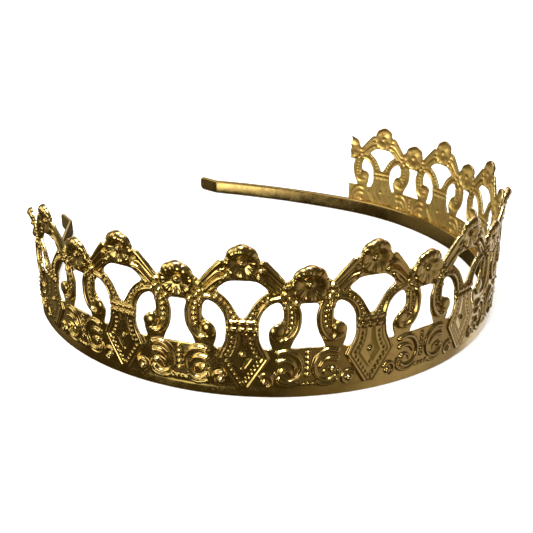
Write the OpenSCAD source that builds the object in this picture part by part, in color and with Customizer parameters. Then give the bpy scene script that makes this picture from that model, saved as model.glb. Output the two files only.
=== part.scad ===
// Crown headband: a spring-metal band carrying a stamped, pierced gallery strip.
// Frame: millimetres, +Z up, the front of the crown faces -Y.
// The origin is the centre of the band's front arc, level with the band's lower edge.

/* [Headband] */
// Inner radius of the arc that carries the strip
band_r = 67; // [60:0.5:80]
// Height of the band
band_h = 5.5; // [4:0.1:8]
// Thickness of the band
band_t = 1.2; // [0.8:0.1:2]
// Length of each bare arm, from the end of the strip to the bend of its tip
arm_len = 60; // [20:1:90]
// Length just behind the strip over which an arm has sprung in
spring_len = 9; // [4:0.5:20]
// Angle by which the right arm has sprung in
right_spring_angle = 2.3; // [0:0.1:30]
// Angle by which the left arm has sprung in
left_spring_angle = 19; // [0:1:30]
// Angle by which the rest of the right arm bends inwards
right_arm_turn = 13.3; // [0:0.1:30]
// Length of the flat tip of an arm, beyond its bend
tip_len = 9; // [4:0.1:12]
// Length over which the tip's bend is made
tip_bend_len = 1.6; // [0.8:0.1:4]
// Angle at which the tip turns outwards
tip_turn = 26; // [0:1:40]
// Corner radius at the end of the tip
tip_corner_r = 1.6; // [0.5:0.1:2.5]

/* [Gallery strip] */
// Length of one repeat along the sheet
repeat_len = 28; // [24:0.5:30]
// Thickness of the sheet
sheet_t = 0.4; // [0.3:0.05:0.8]
// Height of the pressed relief above the sheet
relief_h = 0.7; // [0.3:0.1:1.2]
// Further height of the bosses and beads
bead_h = 0.5; // [0.2:0.1:0.8]

/* [Solder] */
// Thickness of the solder between band and strip
solder_t = 0.1; // [0.05:0.05:0.3]
// Height of the solder above the band's lower edge
solder_z = 0.6; // [0.3:0.1:1.5]
// Width of the line of solder
solder_w = 4; // [2:0.1:4.4]

/* [Hidden] */
$fn = 48;

brass = "#8f6f34";
dark_brass = "#5c4820";
solder_grey = "#8a8068";

// The strip has nine repeats, one per node.
repeats = 9;

solder_r = band_r + band_t;
middle_r = band_r + band_t / 2;
band_front = [0, -middle_r, 0];
facet_angle = 2;
sheet_r = solder_r + solder_t;
face_r = sheet_r + sheet_t;
repeat_angle = repeat_len / face_r * 180 / PI;
strip_half_angle = repeats * repeat_angle / 2;
middle_repeat = (repeats + 1) / 2;
half_len = repeat_len / 2;
strip_top = 35.6;
cut_margin = 2;

// Flowers: heights of their centres, and their petals.
large_flower_z = 31.6;
small_flower_z = 26.9;
flower_r = 2.9;
petal_ring_r = 2.3;
petal_r = 1.4;
top_petal_r = 1.7;
side_petal_angle = 38;
boss_r = 0.8;

// Collar, diamond, volutes, base scrolls and beads.
collar_w = 3.3;
collar_z = 15.5;
collar_h = 3;
diamond_w = 5.3;
diamond_z = 9.4;
volute_pos = [7.3, 15.3];
volute_r = 1.7;
scroll_pos = [9.4, 7.1];
scroll_r = 3.7;
scroll_rib = 0.9;
bead_r = 0.45;
bead_z = 4.9;
bead_pitch = 1.4;
bead_count = 5;

// Half outline of the sheet's crest, from the middle of the repeat to its end.
crest = [
    [0, 33], [3.6, 31.9], [4.4, 32.1], [5.2, 31.75], [5.8, 31.05], [7.3, 29.35], [8.7, 27.6],
    [9.2, 27], [9.7, 27.4], [10.4, 28.1], [half_len + cut_margin, 28.1]
];

// Arch under the large flower: its right half, from the bottom up.
arch = [
    [0, 18.65], [0.55, 18.95], [1.4, 20.3], [2.5, 22.2], [3.75, 23.65], [4.95, 24.6],
    [5.25, 25.1], [4.8, 25.8], [3.6, 26.75], [2.4, 27.2], [0, 27.3]
];

// Gate under the small flower: its right half, from the bottom up.
gate = [
    [0, 11.75], [3.4, 11.75], [3.6, 12.15], [3.05, 13.6], [2.3, 15.1], [1.7, 17], [1.5, 19],
    [1.7, 20.6], [2, 21.7], [1.5, 22.15], [0, 22.2]
];

// Teardrop window between the stem and the scroll, all the way round.
teardrop = [
    [4.7, 11.6], [6.15, 11.75], [5.75, 13.3], [5.55, 15.1], [5.85, 16.5], [6.8, 17.5],
    [8, 17.9], [8.6, 18.8], [8.6, 20.3], [8.3, 21.6], [7.8, 22.3], [7.1, 22.45], [5.7, 21.75],
    [4.55, 20.45], [3.85, 19], [3.6, 17.4], [3.55, 15.2], [3.8, 13.4]
];

// Stem under the collar, which widens to a diamond and ends in a point: its right half.
stem = [
    [0, 2.6], [diamond_w, diamond_z], [4.1, 11.6], [3.4, 13.6], [3.2, 15.5], [0, 15.5]
];

// The left half of an outline that starts and ends on the centre line.
function left_half(points) =
    [for (i = [len(points) - 1 : -1 : 0]) if (points[i][0] > 0) [-points[i][0], points[i][1]]];

// A point on the smooth cubic from b to c, between its neighbours a and d.
function spline_point(a, b, c, d, t) =
    0.5 * (2 * b + (c - a) * t + (2 * a - 5 * b + 4 * c - d) * t * t
    + (3 * b - a - 3 * c + d) * t * t * t);

// The closed smooth curve through a list of points.
function smooth_loop(points, steps = 2) =
    let (n = len(points))
    [for (i = [0 : n - 1], k = [0 : steps - 1])
        spline_point(points[(i + n - 1) % n], points[i], points[(i + 1) % n],
            points[(i + 2) % n], k / steps)];

module both_sides() {
    children();
    mirror([1, 0, 0]) children();
}

// A station of the band is [x, y, heading] on its middle line. The left half is worked out on
// the right and mirrored.
function station(from, length, turn, part) =
    let (turned = turn * part)
    let (run = length * part)
    let (chord = abs(turned) < 0.001 ? run : run * sin(turned / 2) / (turned / 360 * PI))
    let (towards = from[2] + turned / 2)
    [from[0] + chord * cos(towards), from[1] + chord * sin(towards), from[2] + turned];

// Stations along an arc that turns evenly, without its first one.
function along(from, length, turn) =
    let (steps = max(1, ceil(abs(turn) / facet_angle)))
    [for (k = [1:steps]) station(from, length, turn, k / steps)];

function last(list) = list[len(list) - 1];

// Stations after the front, to the end of a half whose arm has sprung in by spring over
// spring_len, and bends evenly by turn over the rest.
function half_band(spring, turn) =
    let (strip = along(band_front, middle_r * strip_half_angle * PI / 180, strip_half_angle))
    let (sprung = along(last(strip), spring_len, spring))
    let (arm = along(last(sprung), arm_len - spring_len, turn))
    let (bend = along(last(arm), tip_bend_len, -tip_turn))
    concat(strip, sprung, arm, bend, along(last(bend), tip_len, 0));

// The band's outline in plan, on the side that lies off to the right of the stations.
function side(stations, off) =
    [for (s = stations) [s[0] + off * sin(s[2]), s[1] - off * cos(s[2])]];

function reversed(list) = [for (k = [len(list) - 1:-1:0]) list[k]];

function mirrored(points) = [for (p = points) [-p[0], p[1]]];

// Half of the band's plan, out along its outer face and back along its inner one.
function half_plan(stations) =
    concat(side(stations, band_t / 2), reversed(side(stations, -band_t / 2)));

// What is cut off the two corners at the end of an arm, to round them. The cut runs on past
// the arm's faces in the direction of its first and last flats.
module corner_cut(place, heading) {
    arc = [for (turn = [0:30:90])
        [tip_corner_r * (cos(turn) - 1), band_h / 2 + tip_corner_r * (sin(turn) - 1)]];
    first = 2 * arc[0] - arc[1];
    final = 2 * arc[3] - arc[2];
    beyond = [cut_margin, band_h / 2 + cut_margin];
    translate([place[0], place[1], band_h / 2])
        for (roll = [90, -90])
            rotate([roll, 0, heading])
                linear_extrude(2 * band_t, center = true)
                    polygon([first, arc[1], arc[2], final, beyond]);
}

// An upright arc in front of the axis, as long as the gallery strip.
module strip_arc() {
    rotate([0, 0, -90 - strip_half_angle])
        rotate_extrude(angle = 2 * strip_half_angle)
            children();
}

module headband() color(dark_brass) {
    right = half_band(right_spring_angle, right_arm_turn);
    left = half_band(left_spring_angle, 0);
    right_end = last(right);
    left_end = last(left);
    difference() {
        linear_extrude(band_h)
            polygon(concat(
                half_plan(concat([band_front], right)),
                reversed(mirrored(half_plan(left)))
            ));
        corner_cut(right_end, right_end[2]);
        corner_cut([-left_end[0], left_end[1]], 180 - left_end[2]);
    }
}

module solder_seam() color(solder_grey) {
    strip_arc()
        translate([solder_r, solder_z])
            square([solder_t, solder_w]);
}

// Cuts a flat upright shape to the round shell that starts at the sheet's inner face.
module pressed(thickness) {
    intersection() {
        rotate([0, 0, -90 - repeat_angle / 2])
            rotate_extrude(angle = repeat_angle)
                translate([sheet_r, 0])
                    square([thickness, strip_top + cut_margin]);
        translate([0, cut_margin - sheet_r, 0])
            rotate([90, 0, 0])
                linear_extrude(height = thickness + 2 * cut_margin)
                    children();
    }
}

// A flower seen from the front, with the largest petal at its top.
module flower(centre) {
    translate(centre) {
        circle(r = flower_r);
        translate([0, petal_ring_r])
            circle(r = top_petal_r);
        for (a = [side_petal_angle, 180 - side_petal_angle])
            translate([petal_ring_r * cos(a), petal_ring_r * sin(a)])
                circle(r = petal_r);
    }
}

// All the flowers of one repeat: the large one and the halves of two small ones.
module flowers() {
    flower([0, large_flower_z]);
    both_sides()
        flower([half_len, small_flower_z]);
}

// The pierced sheet of one repeat.
module pierced_sheet() {
    edge = half_len + cut_margin;
    difference() {
        union() {
            polygon(concat(left_half(crest), crest, [[edge, 0], [-edge, 0]]));
            flowers();
        }
        polygon(smooth_loop(concat(arch, left_half(arch))));
        both_sides() {
            polygon(smooth_loop(teardrop));
            translate([half_len, 0])
                polygon(smooth_loop(concat(gate, left_half(gate))));
        }
    }
}

// The C-shaped scroll in the base, open towards the stem.
module base_scroll() {
    translate(scroll_pos)
        difference() {
            circle(r = scroll_r);
            circle(r = scroll_r - scroll_rib);
            translate([-scroll_r - 1, -scroll_r / 2])
                square([scroll_r + 1, scroll_r]);
        }
}

// Everything that the press raises above the sheet.
module raised_relief() {
    flowers();
    polygon(concat(stem, left_half(stem)));
    translate([-collar_w, collar_z])
        square([2 * collar_w, collar_h]);
    both_sides() {
        translate(volute_pos)
            circle(r = volute_r);
        base_scroll();
    }
}

// Beads and flower centres, which stand highest.
module bosses() {
    translate([0, large_flower_z])
        circle(r = boss_r);
    both_sides() {
        translate([half_len, small_flower_z])
            circle(r = boss_r);
        for (k = [0 : bead_count - 1])
            translate([half_len, bead_z + k * bead_pitch])
                circle(r = bead_r);
    }
}

// One repeat of the strip. The middle one faces -Y.
module gallery_repeat(index) color(brass)
    rotate([0, 0, (index - middle_repeat) * repeat_angle]) {
        pressed(sheet_t)
            pierced_sheet();
        pressed(sheet_t + relief_h)
            raised_relief();
        pressed(sheet_t + relief_h + bead_h)
            bosses();
    }

headband();
solder_seam();
gallery_repeat(1);  // gallery_repeat_1
gallery_repeat(2);  // gallery_repeat_2
gallery_repeat(3);  // gallery_repeat_3
gallery_repeat(4);  // gallery_repeat_4
gallery_repeat(5);  // gallery_repeat_5
gallery_repeat(6);  // gallery_repeat_6
gallery_repeat(7);  // gallery_repeat_7
gallery_repeat(8);  // gallery_repeat_8
gallery_repeat(9);  // gallery_repeat_9
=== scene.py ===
"""Looks of the pressed brass crown headband: strip, band, solder, light and camera."""
import math
import bpy
import numpy as np
from mathutils import Matrix, Vector


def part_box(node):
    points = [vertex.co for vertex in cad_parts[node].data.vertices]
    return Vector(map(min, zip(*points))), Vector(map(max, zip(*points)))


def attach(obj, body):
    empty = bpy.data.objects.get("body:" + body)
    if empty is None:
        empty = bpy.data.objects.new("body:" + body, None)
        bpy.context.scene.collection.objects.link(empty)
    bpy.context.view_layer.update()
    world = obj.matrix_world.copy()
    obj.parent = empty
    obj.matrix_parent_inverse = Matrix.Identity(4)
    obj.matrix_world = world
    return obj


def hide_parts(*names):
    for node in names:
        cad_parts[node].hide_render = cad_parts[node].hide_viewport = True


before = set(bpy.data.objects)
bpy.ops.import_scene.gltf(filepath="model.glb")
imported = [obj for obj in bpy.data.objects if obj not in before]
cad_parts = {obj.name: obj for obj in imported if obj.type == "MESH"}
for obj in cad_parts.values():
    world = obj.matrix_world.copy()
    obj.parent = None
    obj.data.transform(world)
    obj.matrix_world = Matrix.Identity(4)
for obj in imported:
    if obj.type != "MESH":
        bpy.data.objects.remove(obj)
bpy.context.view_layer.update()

# ---------------------------------------------------------------- sizes
# The strip and the band are worked out in millimetres, the strip on its flat sheet: u runs along
# it from the middle of a repeat, v up from its lower edge, and height out from its plain face.

MM = 0.001
REPEAT_NODES = sorted(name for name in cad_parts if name.startswith("gallery_repeat_"))
REPEAT_LENGTH = 28.0
SHEET_THICKNESS = 0.4
SOLDER_THICKNESS = 0.1          # between the sheet and the band
BAND_THICKNESS = 1.2
CELL = 0.125                    # spacing of the strip's mesh
EDGE_ROUND_FRONT = 0.14         # radius of the strip's cut edges
EDGE_ROUND_BACK = 0.08
SHARP_ANGLE = math.radians(50)  # edges that bend more than this are drawn sharp

sheet_radius = -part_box("solder_seam")[0][1] / MM           # of the sheet's back
face_radius = sheet_radius + SHEET_THICKNESS               # of its plain front face
strip_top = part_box(REPEAT_NODES[4])[1][2] / MM
band_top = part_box("headband")[1][2] / MM
half_length = REPEAT_LENGTH / 2
repeat_angle = REPEAT_LENGTH / face_radius
band_radius = sheet_radius - SOLDER_THICKNESS - BAND_THICKNESS / 2      # of its middle line

# ---------------------------------------------------------------- outlines of one repeat
# Only the right half of a repeat is worked out, and then mirrored. CREST, ARCH and the two stems
# are half outlines about the repeat's middle. GATE is half an outline about the repeat's end.
# TEARDROP is a whole outline.

CREST = [
    (0, 33), (3.6, 31.9), (4.4, 32.1), (5.2, 31.75), (5.8, 31.05), (7.3, 29.35), (8.7, 27.6),
    (9.2, 27), (9.7, 27.4), (10.4, 28.1),
]
ARCH = [
    (0, 18.65), (0.55, 18.95), (1.4, 20.3), (2.5, 22.2), (3.75, 23.65), (4.95, 24.6),
    (5.25, 25.1), (4.8, 25.8), (3.6, 26.75), (2.4, 27.2), (0, 27.3),
]
GATE = [
    (0, 11.75), (3.4, 11.75), (3.6, 12.15), (3.05, 13.6), (2.3, 15.1), (1.7, 17), (1.5, 19),
    (1.7, 20.6), (2, 21.7), (1.5, 22.15), (0, 22.2),
]
TEARDROP = [
    (4.7, 11.6), (6.15, 11.75), (5.75, 13.3), (5.55, 15.1), (5.85, 16.5), (6.8, 17.5),
    (8, 17.9), (8.6, 18.8), (8.6, 20.3), (8.3, 21.6), (7.8, 22.3), (7.1, 22.45), (5.7, 21.75),
    (4.55, 20.45), (3.85, 19), (3.6, 17.4), (3.55, 15.2), (3.8, 13.4),
]
STEM = [(0, 0.6), (5.35, 9.4), (4.5, 11.2), (3.75, 13), (3.4, 14.6), (3.4, 15.6)]
STEM_SUNK = [(0, 6.6), (1.95, 9.6), (1.2, 11.4), (0.75, 13.4), (0.6, 15.4)]
LARGE_FLOWER = {"centre": (0, 31.4), "top": 4.25, "side": 3.75, "low": 3.65, "rise": 1.5}
SMALL_FLOWER = {"centre": (half_length, 26.6), "top": 4.4, "side": 4.1, "low": 3.95, "rise": 1.3}
PETALS = 8
RIM_HEIGHT = 2.15               # of the plain lower rim
PRESSING_DEPTH = 0.62           # share of the heights below that the press reached


# ---------------------------------------------------------------- curves and distances

CURVE_STEPS = 8                 # between two points of a curve
NEAR = 3.0                      # no distance to a line is worked out much past this


def mirrored(points, about=0.0):
    """The points, then their mirror images in reverse order, as one loop."""
    return [(about + u, v) for u, v in points] + [(about - u, v) for u, v in reversed(points) if u > 0]


def smooth(points, closed=False):
    """A curve through the points."""
    p = np.array(points, float)
    count = len(p)
    t = (np.arange(CURVE_STEPS) / CURVE_STEPS)[:, None]
    pieces = []
    for i in range(count if closed else count - 1):
        if closed:
            a, b, c, d = p[i - 1], p[i], p[(i + 1) % count], p[(i + 2) % count]
        else:
            a, b, c, d = p[max(i - 1, 0)], p[i], p[i + 1], p[min(i + 2, count - 1)]
        bend = (2 * a - 5 * b + 4 * c - d) * t ** 2 + (3 * b - a - 3 * c + d) * t ** 3
        pieces.append(0.5 * (2 * b + (c - a) * t + bend))
    if not closed:
        pieces.append(p[-1:])
    return np.concatenate(pieces)


def along_line(u, v, line):
    """Distance from each grid point to the line, how far along the line its foot is, and the
    line's length."""
    start, step = line[:-1], line[1:] - line[:-1]
    length = np.hypot(*step.T) + 1e-9
    begin = np.concatenate([[0], np.cumsum(length)])
    low, high = line.min(0) - NEAR, line.max(0) + NEAR
    near = (u > low[0]) & (u < high[0]) & (v > low[1]) & (v < high[1])
    pu, pv = u[near][:, None], v[near][:, None]
    t = ((pu - start[:, 0]) * step[:, 0] + (pv - start[:, 1]) * step[:, 1]) / length ** 2
    t = np.clip(t, 0, 1)
    gap = np.hypot(pu - start[:, 0] - t * step[:, 0], pv - start[:, 1] - t * step[:, 1])
    best = gap.argmin(1)
    row = np.arange(len(best))
    distance = np.full(u.shape, 3 * NEAR)
    travel = np.zeros(u.shape)
    distance[near] = gap[row, best]
    travel[near] = begin[best] + t[row, best] * length[best]
    return distance, travel, begin[-1]


def inside(u, v, loop):
    """Distance to a closed outline, positive within it."""
    result = np.zeros(u.shape, bool)
    for (a, b), (c, d) in zip(loop, np.roll(loop, -1, axis=0)):
        crosses = (b > v) != (d > v)
        result ^= crosses & (u < (c - a) * (v - b) / (d - b + 1e-12) + a)
    distance = along_line(u, v, np.vstack([loop, loop[:1]]))[0]
    return np.where(result, distance, -distance)


def ramp(value, start, length):
    """0 up to start, and then up to 1 over the length."""
    return np.clip((value - start) / length, 0, 1)


def soften(grid, passes):
    """The grid blurred a little, passes times."""
    for _ in range(passes):
        for axis in (0, 1):
            padded = np.pad(grid, [(1, 1) if k == axis else (0, 0) for k in (0, 1)], mode="edge")
            first, last = np.roll(padded, 1, axis), np.roll(padded, -1, axis)
            blurred = (first + 2 * padded + last) / 4
            grid = blurred[1:-1] if axis == 0 else blurred[:, 1:-1]
    return grid


# ---------------------------------------------------------------- pressed relief

class Relief:
    """Heights over a grid of the flat sheet. Every shape raises it to its own surface."""

    def __init__(self, u, v):
        self.u, self.v = u, v
        self.height = np.zeros_like(u)

    def raise_to(self, surface, where):
        """Raises the sheet to the surface where it lies lower."""
        self.height = np.where(where, np.maximum(self.height, surface), self.height)

    def rib(self, points, width, top, foot=0.0, end_width=None, end_top=None, curved=True):
        """A half-round rib along the points. It may taper to its end. width is from middle to side."""
        line = smooth(points) if curved else np.array(points, float)
        distance, travel, length = along_line(self.u, self.v, line)
        end_width = width if end_width is None else end_width
        end_top = top if end_top is None else end_top
        part = travel / length
        reach = width + (end_width - width) * part
        crown = top + (end_top - top) * part
        across = np.clip(1 - (distance / reach) ** 2, 0, None)
        self.raise_to(foot + (crown - foot) * np.sqrt(across), across > 0)

    def beads(self, points, pitch, radius, top, foot=0.2, curved=True):
        """A row of round beads along the points."""
        line = smooth(points) if curved else np.array(points, float)
        distance, travel, length = along_line(self.u, self.v, line)
        count = max(1, round(length / pitch))
        spacing = length / count
        index = np.clip(np.round(travel / spacing - 0.5), 0, count - 1)
        away = travel - (index + 0.5) * spacing
        across = np.clip(1 - (distance ** 2 + away ** 2) / radius ** 2, 0, None)
        self.raise_to(foot + (top - foot) * np.sqrt(across), across > 0)

    def dome(self, centre, half_u, half_v, top, foot=0.1, turn=0.0):
        """A rounded boss, turned anticlockwise by turn degrees."""
        c, s = math.cos(math.radians(turn)), math.sin(math.radians(turn))
        x, y = self.u - centre[0], self.v - centre[1]
        across = 1 - ((c * x + s * y) / half_u) ** 2 - ((c * y - s * x) / half_v) ** 2
        across = np.clip(across, 0, None)
        self.raise_to(foot + (top - foot) * np.sqrt(across), across > 0)

    def groove(self, points, width, depth):
        """A round-bottomed groove that fades to its end."""
        distance, travel, length = along_line(self.u, self.v, smooth(points))
        across = np.clip(1 - (distance / width) ** 2, 0, None)
        self.height = self.height - depth * across * (1 - 0.6 * travel / length)


def flower_polar(u, v, flower):
    """Angle and distance from a flower's centre, and its outline's radius at that angle."""
    x, y = u - flower["centre"][0], v - flower["centre"][1]
    angle, distance = np.arctan2(y, x), np.hypot(x, y)
    upward = np.sin(angle)
    radius = np.where(
        upward > 0,
        flower["side"] + (flower["top"] - flower["side"]) * upward ** 2,
        flower["side"] + (flower["low"] - flower["side"]) * upward ** 2,
    )
    scallop = 0.05              # share of the radius lost between two petals
    petal = np.abs(np.cos((angle - math.pi / 2) * PETALS / 2)) ** 0.7
    return angle, distance, radius * (1 - scallop + scallop * petal)


def press_flower(relief, flower):
    """A cupped flower: dished middle with a boss, and petals that crest and roll over outside.
    Places across it are shares of its outline's radius."""
    angle, distance, radius = flower_polar(relief.u, relief.v, flower)
    reach = np.clip(distance / radius, 0, 1)
    upward = np.clip(np.sin(angle), 0, 1)
    dish, lip = 0.45, 0.2
    dish_edge, lip_at = 0.25, 1.03
    crest = 1.25 + flower["rise"] * upward ** 1.5
    crest_at = 0.8 - 0.16 * upward
    climb = np.sin(ramp(reach, dish_edge, crest_at - dish_edge) * math.pi / 2) ** 1.6
    roll = np.sqrt(np.clip(1 - ((reach - crest_at) / (lip_at - crest_at)) ** 2, 0, 1))
    section = np.where(reach < crest_at, dish + (crest - dish) * climb, lip + (crest - lip) * roll)
    relief.raise_to(section + petal_marks(angle, reach, upward, crest_at), distance < radius * 1.02)
    relief.dome(flower["centre"], 0.85, 0.8, 1.7, 0.4)


def petal_marks(angle, reach, upward, crest_at):
    """Partings between the petals, fainter past the crest at the top, and a vein along each."""
    parting_depth, vein_height = 0.75, 0.13
    turn = (angle - math.pi / 2) * PETALS
    off_middle = np.abs((turn / (2 * math.pi) + 0.5) % 1 - 0.5) * 2
    parting = ramp(off_middle, 0.72, 0.28) ** 1.5 * ramp(reach, 0.3, 0.3)
    parting = parting * (1 - 0.85 * upward * ramp(reach - crest_at, -0.1, 0.15))
    petal = ramp(reach, 0.28, 0.2) * ramp(0.95 - reach, 0, 0.15)
    return vein_height * np.cos(2 * turn) * petal - parting_depth * parting


def press_stem(relief):
    """The tapered stem with its diamond foot, framed by ribs and beads."""
    u, v = relief.u, relief.v
    ground, ground_edge, margin = 0.42, 0.35, 0.15
    sunk_depth, sunk_edge = 0.2, 0.8
    raised = inside(u, v, np.array(mirrored(STEM)))
    relief.raise_to(ground * ramp(raised, -margin, ground_edge), raised > -margin)
    waist, foot = (5.35, 9.45), (1.0, 2.2)
    relief.rib([(3.45, 15.2), (3.55, 14), (3.95, 12.7), (4.65, 11.1), waist], 0.3, 0.85, 0.2)
    relief.rib([waist, foot], 0.3, 0.8, 0.2, curved=False)
    relief.rib([(4.45, 9.35), (0.45, 2.9)], 0.36, 0.72, 0.3, curved=False)
    relief.rib([(2.75, 15.2), (2.9, 13.6), (3.35, 12), (4, 10.7), (4.5, 9.5)], 0.26, 0.66, 0.3)
    relief.beads([(1.95, 14.7), (2.05, 13), (2.4, 11.6), (3, 10.4), (3.65, 9.4)], 1.2, 0.33, 0.95, 0.35)
    relief.beads([(3.6, 9.1), (0, 3.1)], 1.25, 0.32, 0.92, 0.35, curved=False)
    relief.rib([(0.95, 15.3), (1.1, 13.5), (1.6, 11.6), (2.45, 9.6)], 0.36, 0.6, 0.3)
    relief.rib([(2.45, 9.6), (0.15, 6)], 0.34, 0.58, 0.3, curved=False)
    sunk = inside(u, v, np.array(mirrored(STEM_SUNK)))
    relief.height = relief.height - sunk_depth * ramp(sunk, 0, sunk_edge)
    relief.dome((0, 10.2), 0.62, 0.6, 1.25)
    relief.dome((0, 6.9), 0.32, 0.32, 0.9)


def press_collar(relief):
    """Two cross ribs that tie the stem to the Y above it, cut into lobes, the lower one deeper."""
    u, v = relief.u, relief.v
    half_width, half_rib, lobe = 3.5, 0.72, 1.7
    foot, rise, end_length = 0.25, 0.95, 0.35
    within = np.abs(u) < half_width
    fall = 1 - ramp(half_width - u, 0, end_length)
    off_lobe = np.abs((u / lobe + 0.5) % 1 - 0.5) * 2
    for middle, cut_depth in ((16.15, 0.7), (17.75, 0.35)):
        across = np.clip(1 - ((v - middle) / half_rib) ** 2, 0, None)
        relief.raise_to(foot + rise * np.sqrt(across) * np.sqrt(1 - fall ** 2), (across > 0) & within)
        cut = cut_depth * ramp(off_lobe, 0.5, 0.5) ** 2
        on_rib = within & (np.abs(v - middle) < half_rib)
        relief.height = np.where(on_rib, relief.height - cut, relief.height)


def press_y_arm(relief):
    """The beaded arm that rises from the collar to the roof."""
    lower = [(3.2, 18.6), (3.35, 19.6), (4, 21.1), (5.2, 22.45), (6.6, 23.2), (7.9, 23.5)]
    relief.rib(lower, 0.5, 0.95, 0.1)
    relief.rib([(0.75, 18.9), (1.6, 20.5), (2.7, 22.15), (3.9, 23.5), (5.2, 24.6)], 0.36, 0.7, 0.1)
    row = [(1.5, 18.3), (2.15, 19.7), (2.7, 20.9), (3.5, 22), (4.5, 22.95), (5.9, 23.85)]
    relief.beads(row, 1.25, 0.36, 0.9)
    relief.dome((2.35, 18.05), 0.45, 0.4, 1.1, 0.2)


def press_roof(relief):
    """Flutes that fall from the large flower, and the tie beads at their foot."""
    relief.rib([(4.3, 31.5), (5.3, 30.6), (7, 28.7), (8.75, 26.8)], 0.95, 1.45, 0.2, 0.42, 0.8)
    relief.rib([(3.9, 29.7), (5.2, 29.3), (6.7, 27.8), (8.3, 26)], 0.62, 1.25, 0.2, 0.4, 0.8)
    relief.rib([(3.3, 28.3), (4.7, 27.8), (6, 26.8), (7.8, 25)], 0.6, 1.15, 0.2, 0.4, 0.8)
    relief.rib([(4.9, 26.9), (5.8, 25.7), (6.9, 24.7)], 0.45, 0.85, 0.15, 0.3, 0.6)
    relief.dome((3.7, 28.1), 0.85, 0.65, 1.35, 0.2, -35)
    relief.dome((4.3, 29.6), 0.75, 0.5, 1.4, 0.2, -25)
    relief.dome((9.1, 26.15), 0.85, 0.62, 1.45)
    relief.dome((8.95, 24.6), 0.95, 0.58, 1.4, 0.1, 5)
    relief.dome((9.9, 23.45), 0.75, 0.5, 1.3, 0.1, -50)
    relief.dome((8.85, 21.3), 0.42, 0.4, 1.0)
    relief.dome((11.15, 22.25), 0.75, 0.45, 1.25, 0.1, 60)


def press_hanging_scroll(relief):
    """The beaded scroll that hangs from the tie beads and curls under a dome."""
    relief.rib([(9.1, 22.3), (9.3, 20.6), (9.3, 19), (9.25, 17.7)], 0.5, 0.85, 0.1)
    outer = [
        (11.3, 22.3), (11.85, 20.8), (11.9, 19), (11.7, 17.1), (11, 15.4), (10.1, 14.3), (9.2, 13.85),
    ]
    relief.rib(outer, 0.72, 1.1, 0.1, 0.65, 1.3)
    relief.beads([(9.95, 22), (10.25, 20.6), (10.45, 19), (10.4, 17.4), (9.9, 16)], 1.28, 0.36, 0.95)
    relief.dome((8.6, 13.9), 1.15, 0.55, 1.5, 0.2, -5)
    relief.rib([(8.6, 13.9), (7.3, 14.1), (6.4, 14.9)], 0.6, 1.2, 0.2, 0.5, 0.9)
    relief.dome((7.25, 16), 1.75, 1.85, 1.5, 0.1, -20)
    relief.groove([(9.4, 16.3), (8.6, 15.2), (7.7, 14.85), (7, 15.2)], 0.3, 0.5)


def press_base(relief):
    """Scrolls, small curls and column of beads of the solid base."""
    c_scroll = [
        (7.7, 10.75), (9.3, 11.15), (10.8, 10.65), (12, 9.4), (12.6, 7.6), (12.4, 5.7), (11.5, 4.3),
    ]
    relief.rib(c_scroll, 0.62, 1.1, 0.0, 0.36, 0.75)
    relief.rib([(7.8, 8.75), (9.3, 8.95), (10.6, 8.3), (11.3, 7.1)], 0.6, 1.1, 0.0, 0.28, 0.6)
    relief.dome((7.75, 10.8), 0.55, 0.55, 1.2)
    relief.dome((7.85, 8.8), 0.52, 0.52, 1.2)
    relief.rib([(8.5, 6.4), (9.3, 6.6), (10.2, 6.1), (10.3, 5.3)], 0.5, 0.8, 0.0, 0.25, 0.4)
    relief.dome((8.45, 6.3), 0.78, 0.72, 1.3)
    relief.rib([(7.9, 4.5), (8.9, 3.8), (10.2, 3.7), (11.5, 4.35), (12, 5)], 0.58, 1.1, 0.0, 0.4, 0.8)
    relief.rib([(7.2, 5.9), (6.95, 4.6), (7.6, 3.3), (9.2, 2.65), (11, 2.75), (12.2, 3.6)], 0.3, 0.55)
    small_curl = [(3.75, 5), (4.6, 5.5), (5.7, 5.2), (6.25, 4.2), (6.1, 3.1), (5.4, 2.5)]
    relief.rib(small_curl, 0.5, 1.0, 0.0, 0.22, 0.5)
    relief.dome((3.85, 5.05), 0.5, 0.48, 1.15)
    relief.dome((4.7, 3.65), 0.7, 0.68, 1.25)
    for step, v in enumerate((10.75, 9.55, 8.3, 6.9, 5.4)):
        relief.dome((half_length, v), 0.42 + 0.03 * step, 0.42 + 0.02 * step, 1.0)
    for offset in (0.5, 1.5):
        relief.dome((half_length - offset, 3.2), 0.5, 0.42, 0.6)


def press_rim(relief):
    """The plain, slightly crowned lower rim."""
    rise, middle, half_width = 0.12, 0.95, 1.2
    crown = rise * np.clip(1 - np.abs((relief.v - middle) / half_width) ** 4, 0, None)
    relief.height = np.where(relief.v < RIM_HEIGHT, crown, relief.height)


def pressed_heights(u, v):
    """Height of the front face above the plain sheet."""
    relief = Relief(u, v)
    press_stem(relief)
    press_collar(relief)
    press_y_arm(relief)
    press_roof(relief)
    press_hanging_scroll(relief)
    press_base(relief)
    press_flower(relief, LARGE_FLOWER)
    press_flower(relief, SMALL_FLOWER)
    press_rim(relief)
    return relief.height * PRESSING_DEPTH


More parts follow.
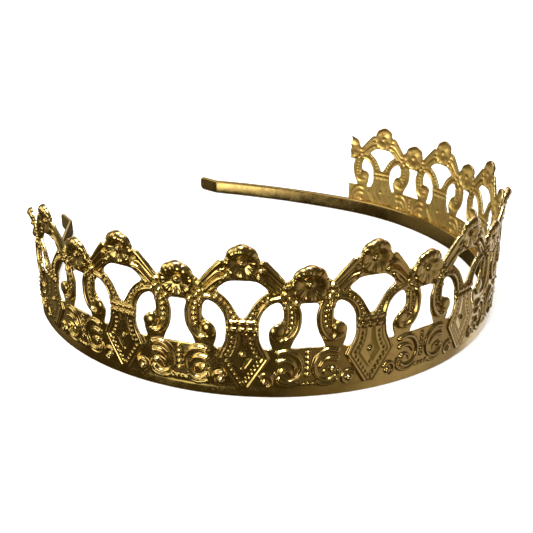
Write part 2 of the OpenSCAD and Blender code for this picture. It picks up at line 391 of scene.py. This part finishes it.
def metal_distance(u, v):
    """Distance to the nearest cut edge, positive in the metal. The outline runs level from the
    crest's end, behind the small flower, and well past the grid, whose sides and foot end the
    sheet."""
    far = half_length + 4
    crest = CREST + [(far, CREST[-1][1]), (far, -far)]
    metal = inside(u, v, np.array(crest + [(-a, b) for a, b in reversed(crest)]))
    slant = 0.95                # because a flower's edge isn't quite square to its radius
    for flower in (LARGE_FLOWER, SMALL_FLOWER):
        _, distance, radius = flower_polar(u, v, flower)
        metal = np.maximum(metal, slant * (radius - distance))
    for points, about in ((ARCH, 0), (GATE, half_length)):
        metal = np.minimum(metal, -inside(u, v, smooth(mirrored(points, about), closed=True)))
    return np.minimum(metal, -inside(u, v, smooth(TEARDROP, closed=True)))


# ---------------------------------------------------------------- the strip's mesh

FRONT_SOFTENING = 2             # passes of soften for the front face
BACK_SOFTENING = 10             # more passes for the back
GROUND_SOFTENING = 30           # more passes for the level that hollows are measured from


def cell_polygons():
    """For each pattern of a cell's four corners in the metal: its part of the cell.
    0 to 3 are corners, and 4 to 7 the points where the edge crosses the sides between them."""
    polygons = []
    for pattern in range(16):
        held = [bool(pattern >> corner & 1) for corner in range(4)]
        polygon = []
        for corner in range(4):
            if held[corner]:
                polygon.append(corner)
            if held[corner] != held[(corner + 1) % 4]:
                polygon.append(4 + corner)
        polygons.append(polygon)
    return polygons


def cut_sheet(u, v, metal):
    """Triangles of the sheet inside its outline, as (points, triangles). Each point is a pair of
    grid points and a share, so that anything on the grid can be read at it."""
    rows, columns = u.shape
    index = np.arange(rows * columns).reshape(rows, columns)
    corners = [index[:-1, :-1], index[:-1, 1:], index[1:, 1:], index[1:, :-1]]
    corner = np.stack(corners, -1).reshape(-1, 4)
    held = metal.ravel()[corner] > 0
    pattern = (held * (1, 2, 4, 8)).sum(1)
    following = np.roll(corner, -1, axis=1)
    low, high = np.minimum(corner, following), np.maximum(corner, following)
    key = np.concatenate([corner * (rows * columns) + corner, low * (rows * columns) + high], axis=1)
    triangles = []
    for number, polygon in enumerate(cell_polygons()):
        cells = key[pattern == number]
        for k in range(1, len(polygon) - 1):
            triangles.append(cells[:, [polygon[0], polygon[k], polygon[k + 1]]])
    keys, triangles = np.unique(np.concatenate(triangles), return_inverse=True)
    a, b = keys // (rows * columns), keys % (rows * columns)
    depth = metal.ravel()
    share = np.where(a == b, 0.0, depth[a] / np.where(a == b, 1.0, depth[a] - depth[b]))
    return (a, b, share), triangles.reshape(-1, 3)


def rim_edges(triangles):
    """Directed edges that only one triangle has."""
    edges = np.concatenate([triangles[:, [0, 1]], triangles[:, [1, 2]], triangles[:, [2, 0]]])
    order = np.sort(edges, axis=1)
    _, where, count = np.unique(order, axis=0, return_inverse=True, return_counts=True)
    return edges[count[where.ravel()] == 1]


def edge_round(depth, radius):
    """How far a rounded edge has fallen at that depth into the metal."""
    left = radius - np.clip(depth, 0, radius)
    return radius - np.sqrt(radius ** 2 - left ** 2)


def mirror_half(grid, sign=1):
    """The grid of a half repeat, with its mirror image before it."""
    return np.concatenate([sign * grid[:, :0:-1], grid], axis=1)


def on_arc(u, v, radius):
    """Points of the flat sheet bent round the wearer's head, in metres, about the front."""
    angle = u / face_radius
    return np.stack([radius * np.sin(angle), -radius * np.cos(angle), v], 1) * MM


def strip_grids():
    """Grids over a whole repeat: u, v, distance into the metal, heights of the front and of the
    back, and how far the front lies below its surroundings."""
    across = np.linspace(0, half_length, round(half_length / CELL) + 1)
    upward = np.linspace(0, strip_top + CELL, round(strip_top / CELL) + 2)
    v, u = np.meshgrid(upward, across, indexing="ij")
    height = soften(pressed_heights(u, v), FRONT_SOFTENING)
    back = soften(height, BACK_SOFTENING)
    hollow = soften(height, GROUND_SOFTENING) - height
    others = (v, metal_distance(u, v), height, back, hollow)
    return [mirror_half(u, -1)] + [mirror_half(grid) for grid in others]


def closed_shell(front, rear, triangles):
    """Points and triangles of both faces of a sheet, closed at its edges."""
    count = len(front)
    rim = rim_edges(triangles)
    sides = np.concatenate([
        np.stack([rim[:, 1], rim[:, 0], rim[:, 0] + count], 1),
        np.stack([rim[:, 1], rim[:, 0] + count, rim[:, 1] + count], 1),
    ])
    return np.concatenate([front, rear]), np.concatenate([triangles, triangles[:, ::-1] + count, sides])


def add_attribute(mesh, name, on_front, on_rear):
    """A value on each point of the front and the rear, for the material to read."""
    attribute = mesh.attributes.new(name, "FLOAT", "POINT")
    attribute.data.foreach_set("value", np.concatenate([on_front, on_rear]))


def build_strip_mesh():
    """One repeat of the strip, front and back, closed at its edges."""
    u, v, metal, height, back, hollow = strip_grids()
    (a, b, share), triangles = cut_sheet(u, v, metal)

    def at_points(grid):
        flat = grid.ravel()
        return flat[a] + (flat[b] - flat[a]) * share

    points_u, points_v = at_points(u), at_points(v)
    depth = np.clip(at_points(metal), 0, None)
    front_height = at_points(height) - edge_round(depth, EDGE_ROUND_FRONT)
    back_height = np.minimum(at_points(back), at_points(height)) - SHEET_THICKNESS
    back_height = back_height + edge_round(depth, EDGE_ROUND_BACK)
    front = on_arc(points_u, points_v, face_radius + front_height)
    rear = on_arc(points_u, points_v, face_radius + back_height)
    points, faces = closed_shell(front, rear, triangles)
    mesh = bpy.data.meshes.new("gallery_strip")
    mesh.from_pydata(points, [], faces)
    depth_below = at_points(hollow)
    # The material darkens the hollows by this depth: partly patina, partly painted shade.
    add_attribute(mesh, "recess", depth_below, -0.5 * depth_below)
    add_attribute(mesh, "behind", np.zeros(len(front)), np.ones(len(rear)))
    add_attribute(mesh, "edge_depth", depth, depth)
    mesh.shade_smooth()
    mesh.set_sharp_from_angle(angle=SHARP_ANGLE)
    return mesh


# ---------------------------------------------------------------- the band's mesh

ARM_LENGTH = 60.0
SPRING_LENGTH = 9.0             # just behind the strip, where an arm has sprung in
RIGHT_ARM = {"spring": 2.3, "turn": 13.3}       # degrees there, and over the rest of the arm
LEFT_ARM = {"spring": 19.0, "turn": 0.0}
TIP_BEND_LENGTH = 1.6
TIP_TURN = 26.0                 # degrees outwards
TIP_LENGTH = 9.0
TIP_CORNER = 1.6                # radius of a tip's corners, seen from its face
END_LENGTH = 0.3                # at the end of a tip, where it thins
END_THINNING = 0.7
CORNER_STEPS = 5                # points round each edge of the section
CROWN_STEPS = 7                 # points across the inner face
CROWN_SPAN = 0.72               # share of that face that they cover
BAND_CROWN = 0.14               # how far it bulges


def walk(runs):
    """Stations (x, y, heading, way to go) from the front of the band along the runs, each with
    its length, the degrees that it turns and the spacing of its stations."""
    x, y, heading, travel = 0.0, -band_radius, 0.0, 0.0
    stations = []
    for length, turn, spacing in runs:
        steps = max(2, round(length / spacing))
        part, bend = length / steps, math.radians(turn) / steps
        for _ in range(steps):
            heading += bend / 2
            x, y, travel = x + part * math.cos(heading), y + part * math.sin(heading), travel + part
            heading += bend / 2
            stations.append((x, y, heading, travel))
    return [(x, y, heading, travel - reached) for x, y, heading, reached in stations]


def half_band(arm):
    """Stations from the front of the band to the end of one tip."""
    strip_angle = repeat_angle * len(REPEAT_NODES) / 2
    return walk([
        (band_radius * strip_angle, math.degrees(strip_angle), 1.5),
        (SPRING_LENGTH, arm["spring"], 0.6),
        (ARM_LENGTH - SPRING_LENGTH, arm["turn"], 2.0),
        (TIP_BEND_LENGTH, -TIP_TURN, 0.16),
        (TIP_LENGTH - TIP_CORNER, 0, 1.0),
        (TIP_CORNER - END_LENGTH, 0, 0.13),
        (END_LENGTH, 0, 0.05),
    ])


def band_section(stub):
    """Ring of (out, up) points round the section, made smaller towards the end of a tip, where
    stub is the way left to go. Its inner face is a little crowned, and its inner top edge is the
    roundest. A corner has its place, its radius and the angle at which its arc starts."""
    half_t, half_h = BAND_THICKNESS / 2, band_top / 2
    corners = [
        (half_t, -half_h, 0.25, -90), (half_t, half_h, 0.3, 0),
        (-half_t, half_h, 0.5, 90), (-half_t, -half_h, 0.25, 180),
    ]
    short = max(0.0, TIP_CORNER - stub)
    squash = (half_h - TIP_CORNER + math.sqrt(TIP_CORNER ** 2 - short ** 2)) / half_h
    thin = math.sqrt(1 - END_THINNING * max(0.0, 1 - stub / END_LENGTH) ** 2)
    ring = []
    for out, up, radius, start in corners:
        middle = (out - math.copysign(radius, out), up - math.copysign(radius, up))
        for k in range(CORNER_STEPS):
            turn = math.radians(start + 90 * k / (CORNER_STEPS - 1))
            ring.append((middle[0] + radius * math.cos(turn), middle[1] + radius * math.sin(turn)))
    heights = np.linspace(CROWN_SPAN, -CROWN_SPAN, CROWN_STEPS) * half_h
    crown = [(-half_t - BAND_CROWN * (1 - (up / half_h) ** 2), up) for up in heights]
    ring[3 * CORNER_STEPS:3 * CORNER_STEPS] = crown
    return [(out * thin, half_h + up * squash) for out, up in ring]


def build_band(material):
    """The band as one loft from the left tip round the front to the right tip."""
    right, left = half_band(RIGHT_ARM), half_band(LEFT_ARM)
    front = [(0.0, -band_radius, 0.0, ARM_LENGTH)]
    mirrored_left = [(-x, y, -heading, stub) for x, y, heading, stub in reversed(left)]
    rings = []
    for x, y, heading, stub in mirrored_left + front + right:
        side = (math.sin(heading), -math.cos(heading))
        rings.append([(x + out * side[0], y + out * side[1], up) for out, up in band_section(stub)])
    points = np.array(rings)
    rows, around = points.shape[:2]
    index = np.arange(rows * around).reshape(rows, around)
    beside = np.roll(index, -1, axis=1)
    quads = np.stack([index[:-1], index[1:], beside[1:], beside[:-1]], -1).reshape(-1, 4)
    caps = [index[0].tolist(), index[-1, ::-1].tolist()]
    mesh = bpy.data.meshes.new("spring_band")
    mesh.from_pydata(points.reshape(-1, 3) * MM, [], quads.tolist() + caps)
    mesh.materials.append(material)
    mesh.shade_smooth()
    mesh.set_sharp_from_angle(angle=SHARP_ANGLE)
    band = link_object("spring_band", mesh)
    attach(band, "root")
    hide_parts("headband")


# ---------------------------------------------------------------- materials
# Noise scales are per metre, and bump distances are in metres.

POLISHED = (0.81, 0.62, 0.21, 1)
RUBBED = (0.95, 0.80, 0.42, 1)
WARMER = (0.94, 0.85, 0.9, 1)   # share of each colour left in the warmer patches
BAND_BRASS = (0.60, 0.45, 0.16, 1)
BAND_RUBBED = (0.72, 0.57, 0.26, 1)
# Patina colour, which also paints shade into the strip's hollows.
PATINA_AND_SHADE = (0.13, 0.085, 0.02, 1)
SOLDER_PALE = (0.42, 0.37, 0.28, 1)
SOLDER_DARK = (0.3, 0.25, 0.17, 1)
FLOOR_DARK = (0.86, 0.86, 0.86, 1)
FLOOR_PALE = (0.88, 0.88, 0.88, 1)


class Nodes:
    """Short calls for building one material's node tree."""

    def __init__(self, name):
        self.material = bpy.data.materials.new(name)
        self.material.use_nodes = True
        self.tree = self.material.node_tree
        self.shader = self.tree.nodes["Principled BSDF"]
        self.place = self.tree.nodes.new("ShaderNodeNewGeometry").outputs["Position"]

    def link(self, source, target):
        self.tree.links.new(source, target)

    def noise(self, scale, detail, roughness=0.55, place=None):
        """Soft noise from 0 to 1, by place in the object."""
        node = self.tree.nodes.new("ShaderNodeTexNoise")
        node.inputs["Scale"].default_value = scale
        node.inputs["Detail"].default_value = detail
        node.inputs["Roughness"].default_value = roughness
        self.link(place or self.place, node.inputs["Vector"])
        return node.outputs["Fac"]

    def attribute(self, name):
        """A value that the mesh carries."""
        node = self.tree.nodes.new("ShaderNodeAttribute")
        node.attribute_name = name
        return node.outputs["Fac"]

    def span(self, value, low, high, to_low=0.0, to_high=1.0):
        """value from low..high to to_low..to_high, held at the ends."""
        node = self.tree.nodes.new("ShaderNodeMapRange")
        node.inputs["From Min"].default_value = low
        node.inputs["From Max"].default_value = high
        node.inputs["To Min"].default_value = to_low
        node.inputs["To Max"].default_value = to_high
        self.link(value, node.inputs["Value"])
        return node.outputs["Result"]

    def maths(self, operation, first, second):
        node = self.tree.nodes.new("ShaderNodeMath")
        node.operation = operation
        for value, target in ((first, node.inputs[0]), (second, node.inputs[1])):
            if isinstance(value, (int, float)):
                target.default_value = value
            else:
                self.link(value, target)
        return node.outputs["Value"]

    def mix(self, share, first, second):
        """The first colour where share is 0, the second where it is 1."""
        node = self.tree.nodes.new("ShaderNodeMix")
        node.data_type = "RGBA"
        self.link(share, node.inputs["Factor"])
        for value, target in ((first, node.inputs["A"]), (second, node.inputs["B"])):
            if isinstance(value, tuple):
                target.default_value = value
            else:
                self.link(value, target)
        return node.outputs["Result"]

    def stretched(self, scale):
        """Places scaled by a different number along each axis, for lines rather than spots."""
        node = self.tree.nodes.new("ShaderNodeVectorMath")
        node.operation = "MULTIPLY"
        node.inputs[1].default_value = scale
        self.link(self.place, node.inputs[0])
        return node.outputs["Vector"]

    def bump(self, height, distance, strength, under=None):
        """The surface's direction with the height's bumps on it, over those of under."""
        node = self.tree.nodes.new("ShaderNodeBump")
        node.inputs["Distance"].default_value = distance
        node.inputs["Strength"].default_value = strength
        self.link(height, node.inputs["Height"])
        if under:
            self.link(under, node.inputs["Normal"])
        return node.outputs["Normal"]


def brass_colour(nodes, dark, bright, base=POLISHED, rubbed=RUBBED):
    """Polished brass with warmer patches, patina (on the strip also painted shade) where dark is 1 and
    bare metal where bright is 1.
    """
    patches = nodes.span(nodes.noise(260, 4), 0.42, 0.62)
    colour = nodes.mix(patches, base, tuple(a * b for a, b in zip(base, WARMER)))
    colour = nodes.mix(bright, colour, rubbed)
    return nodes.mix(dark, colour, PATINA_AND_SHADE)


def make_gallery_brass():
    """Pressed brass strip: patina and painted shade in its hollows, rubbed edges, fine scratches and
    pits.
    """
    nodes = Nodes("gallery_brass")
    shader = nodes.shader
    shader.inputs["Metallic"].default_value = 1.0
    recess = nodes.attribute("recess")
    edge = nodes.attribute("edge_depth")
    blotch = nodes.noise(900, 5, 0.65)
    # Hollows are darkened towards the patina colour: partly patina, partly painted shade.
    painted_shade_and_patina = nodes.maths("ADD", recess, nodes.span(blotch, 0.3, 0.7, -0.12, 0.12))
    dark = nodes.span(painted_shade_and_patina, 0.04, 0.5, 0.0, 0.8)
    high = nodes.span(recess, -0.15, -0.45)
    cut = nodes.span(edge, 0.18, 0.02)
    bright = nodes.maths("MAXIMUM", high, cut)
    nodes.link(brass_colour(nodes, dark, bright), shader.inputs["Base Color"])
    smudge = nodes.span(nodes.noise(420, 4), 0.35, 0.7, 0.15, 0.26)
    rough = nodes.maths("ADD", smudge, nodes.maths("MULTIPLY", dark, 0.22))
    rough = nodes.maths("ADD", rough, nodes.maths("MULTIPLY", nodes.attribute("behind"), 0.3))
    nodes.link(rough, shader.inputs["Roughness"])
    waves = nodes.bump(nodes.noise(450, 2), 0.00006, 0.25)
    pits = nodes.bump(nodes.noise(5200, 3, 0.6), 0.000008, 0.35, waves)
    scratches = nodes.noise(1.0, 2, 0.6, nodes.stretched((2200, 2200, 14000)))
    nodes.link(nodes.bump(scratches, 0.000004, 0.5, pits), shader.inputs["Normal"])
    return nodes.material


def make_band_metal():
    """Rolled brass band: lines drawn along it, and dull and rubbed patches."""
    nodes = Nodes("band_metal")
    shader = nodes.shader
    shader.inputs["Metallic"].default_value = 1.0
    dull = nodes.span(nodes.noise(120, 5, 0.6), 0.45, 0.68, 0.0, 0.35)
    bright = nodes.span(nodes.noise(60, 2), 0.4, 0.7, 0.0, 0.5)
    colour = brass_colour(nodes, dull, bright, BAND_BRASS, BAND_RUBBED)
    nodes.link(colour, shader.inputs["Base Color"])
    rough = nodes.span(nodes.noise(300, 4), 0.3, 0.7, 0.16, 0.28)
    nodes.link(rough, shader.inputs["Roughness"])
    lines = nodes.noise(1.0, 3, 0.6, nodes.stretched((150, 150, 9000)))
    drawn = nodes.bump(lines, 0.000012, 0.5)
    nodes.link(nodes.bump(nodes.noise(500, 2), 0.00004, 0.4, drawn), shader.inputs["Normal"])
    return nodes.material


def make_solder():
    """Dull grey-gold solder, grainy and uneven."""
    nodes = Nodes("solder")
    shader = nodes.shader
    shader.inputs["Metallic"].default_value = 1.0
    patch = nodes.span(nodes.noise(800, 4), 0.35, 0.65)
    nodes.link(nodes.mix(patch, SOLDER_PALE, SOLDER_DARK), shader.inputs["Base Color"])
    nodes.link(nodes.span(patch, 0, 1, 0.35, 0.5), shader.inputs["Roughness"])
    nodes.link(nodes.bump(nodes.noise(1600, 3), 0.00006, 0.8), shader.inputs["Normal"])
    return nodes.material


def make_pale_floor():
    """Plain pale floor with a faint grain."""
    nodes = Nodes("pale_floor")
    shader = nodes.shader
    tone = nodes.span(nodes.noise(40, 3), 0.3, 0.7)
    nodes.link(nodes.mix(tone, FLOOR_DARK, FLOOR_PALE), shader.inputs["Base Color"])
    shader.inputs["Roughness"].default_value = 0.9
    nodes.link(nodes.bump(nodes.noise(900, 2), 0.00005, 0.2), shader.inputs["Normal"])
    return nodes.material


# ---------------------------------------------------------------- pieces

def link_object(name, data):
    """A new object in the scene."""
    piece = bpy.data.objects.new(name, data)
    bpy.context.scene.collection.objects.link(piece)
    return piece


def build_strip(material):
    """The repeats share one mesh and are turned round the head."""
    mesh = build_strip_mesh()
    mesh.materials.append(material)
    middle = (len(REPEAT_NODES) - 1) / 2
    for number, node in enumerate(REPEAT_NODES):
        piece = link_object("pressed_" + node, mesh)
        piece.rotation_euler.z = (number - middle) * repeat_angle
        bpy.context.view_layer.update()
        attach(piece, "root")
        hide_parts(node)


def finish_cad_node(node, material):
    """A CAD node that stays gets its material."""
    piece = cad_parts[node]
    piece.data.materials.clear()
    piece.data.materials.append(material)


# ---------------------------------------------------------------- floor, light and camera
# From here on, lengths are in metres.

FLOOR_SIDE = 60.0
FLOOR_TOP = -0.0002             # just under the crown
PALE_STRENGTH = 1.6             # brightness of the world that the camera and matt surfaces see
AIM = (0, 0, 0.02)              # the point that every lamp faces

# What the polished metal reflects: the direction and height of the middle of each soft patch
# in degrees, anticlockwise from +X, then its radius in degrees, its brightness and its colour.
PATCHES = [
    ("front_right_wall", -52, -24, 40, 0.24, (1, 0.88, 0.95)),
    ("front_wall", -84, -24, 40, 0.11, (1, 0.84, 0.55)),
    ("bright_right_wall", 2, -18, 32, 0.85, (0.95, 0.96, 1.2)),
    ("left_wall", -165, -8, 15, 4.2, (1, 0.95, 0.8)),
    ("far_wall", 115, -8, 30, 0.12, (1, 0.88, 0.6)),
    ("window", 165, 62, 26, 0.9, (1, 0.95, 0.8)),
    ("ceiling", -5, 68, 25, 1.2, (1, 0.93, 0.85)),
    ("warm_corner", 12, 38, 32, 0.42, (1, 0.48, 0.38)),
]
PATCH_CORE = 0.35               # share of a patch's radius within which it is brightest
ROOM_DARK = (0.038, 0.027, 0.009)


def build_floor():
    """The floor the crown stands on, which its metal doesn't reflect."""
    corners = ((-1, -1), (1, -1), (1, 1), (-1, 1))
    points = [(x * FLOOR_SIDE / 2, y * FLOOR_SIDE / 2, FLOOR_TOP) for x, y in corners]
    mesh = bpy.data.meshes.new("floor")
    mesh.from_pydata(points, [], [(0, 1, 2, 3)])
    mesh.materials.append(make_pale_floor())
    floor = link_object("floor", mesh)
    floor.visible_glossy = False


def softbox(name, place, width, height, power, colour):
    """A soft rectangular lamp, which the camera doesn't see."""
    light = bpy.data.lights.new(name, "AREA")
    light.shape = "RECTANGLE"
    light.size = width
    light.size_y = height
    light.energy = power
    light.color = colour
    box = link_object(name, light)
    box.location = place
    box.rotation_euler = (Vector(AIM) - Vector(place)).to_track_quat("-Z", "Y").to_euler()
    box.visible_camera = False


def build_lights():
    softbox("overhead", (-0.3, -0.12, 0.75), 0.36, 0.26, 4.5, (1, 0.95, 0.85))
    softbox("left_fill", (-0.8, 0.45, 0.36), 0.8, 0.5, 2, (1, 0.92, 0.75))
    softbox("far_fill", (0.25, 0.9, 0.45), 0.9, 0.5, 1, (1, 0.92, 0.75))


def direction(turn, height):
    """Unit vector at an angle anticlockwise from +X and at an angle above the horizon."""
    level = math.cos(height)
    return (math.cos(turn) * level, math.sin(turn) * level, math.sin(height))


def reflected_room(tree):
    """Colour of the room by direction: a dark room with soft bright patches on its walls."""
    place = tree.nodes.new("ShaderNodeTexCoord").outputs["Generated"]
    total = None
    for name, turn, height, radius, strength, colour in PATCHES:
        turn, height, radius = (math.radians(angle) for angle in (turn, height, radius))
        dot = tree.nodes.new("ShaderNodeVectorMath")
        dot.operation = "DOT_PRODUCT"
        dot.inputs[1].default_value = direction(turn, height)
        tree.links.new(place, dot.inputs[0])
        fade = tree.nodes.new("ShaderNodeMapRange")
        fade.name = name
        fade.interpolation_type = "SMOOTHSTEP"
        fade.inputs["From Min"].default_value = math.cos(radius)
        fade.inputs["From Max"].default_value = math.cos(radius * PATCH_CORE)
        tree.links.new(dot.outputs["Value"], fade.inputs["Value"])
        tint = tree.nodes.new("ShaderNodeVectorMath")
        tint.operation = "MULTIPLY_ADD"
        tint.inputs[1].default_value = [strength * part for part in colour]
        tint.inputs[2].default_value = ROOM_DARK
        tree.links.new(fade.outputs["Result"], tint.inputs[0])
        if total:
            tree.links.new(total, tint.inputs[2])
        total = tint.outputs["Vector"]
    return total


def build_world():
    """Pale and even for the camera and for matt surfaces, and a room for polished metal."""
    world = bpy.data.worlds.new("studio")
    bpy.context.scene.world = world
    world.use_nodes = True
    tree = world.node_tree
    room = tree.nodes["Background"]
    tree.links.new(reflected_room(tree), room.inputs["Color"])
    pale = tree.nodes.new("ShaderNodeBackground")
    pale.inputs["Color"].default_value = (1, 1, 1, 1)
    pale.inputs["Strength"].default_value = PALE_STRENGTH
    rays = tree.nodes.new("ShaderNodeLightPath")
    mix = tree.nodes.new("ShaderNodeMixShader")
    tree.links.new(rays.outputs["Is Glossy Ray"], mix.inputs["Fac"])
    tree.links.new(pale.outputs["Background"], mix.inputs[1])
    tree.links.new(room.outputs["Background"], mix.inputs[2])
    tree.links.new(mix.outputs["Shader"], tree.nodes["World Output"].inputs["Surface"])


CAMERA_PLACE = (-0.12576, -0.13234, 0.08152)
CAMERA_YAW = 39.973             # degrees to the right of +Y
CAMERA_PITCH = 16.756           # degrees below the horizon
CAMERA_ROLL = -0.628            # degrees
CAMERA_LENS = 41.167            # millimetres, like the sensor
CAMERA_SENSOR = 36
CAMERA_SHIFT = (0.0778, -0.1464)
CAMERA_NEAR = 0.005


def build_camera():
    """The camera where the photograph was taken from, a little rolled."""
    yaw, pitch, roll = (math.radians(a) for a in (CAMERA_YAW, CAMERA_PITCH, CAMERA_ROLL))
    ahead = Vector((math.sin(yaw) * math.cos(pitch), math.cos(yaw) * math.cos(pitch), -math.sin(pitch)))
    level = Vector((math.cos(yaw), -math.sin(yaw), 0))
    upright = level.cross(ahead)
    right = math.cos(roll) * level + math.sin(roll) * upright
    up = math.cos(roll) * upright - math.sin(roll) * level
    data = bpy.data.cameras.new("camera")
    data.lens = CAMERA_LENS
    data.sensor_width = CAMERA_SENSOR
    data.shift_x, data.shift_y = CAMERA_SHIFT
    data.clip_start = CAMERA_NEAR
    camera = link_object("camera", data)
    turned = Matrix((right, up, -ahead)).transposed().to_4x4()
    camera.matrix_world = Matrix.Translation(CAMERA_PLACE) @ turned
    bpy.context.scene.camera = camera


build_strip(make_gallery_brass())
build_band(make_band_metal())
finish_cad_node("solder_seam", make_solder())
build_floor()
build_lights()
build_world()
build_camera()
bpy.context.scene.view_settings.view_transform = "Standard"
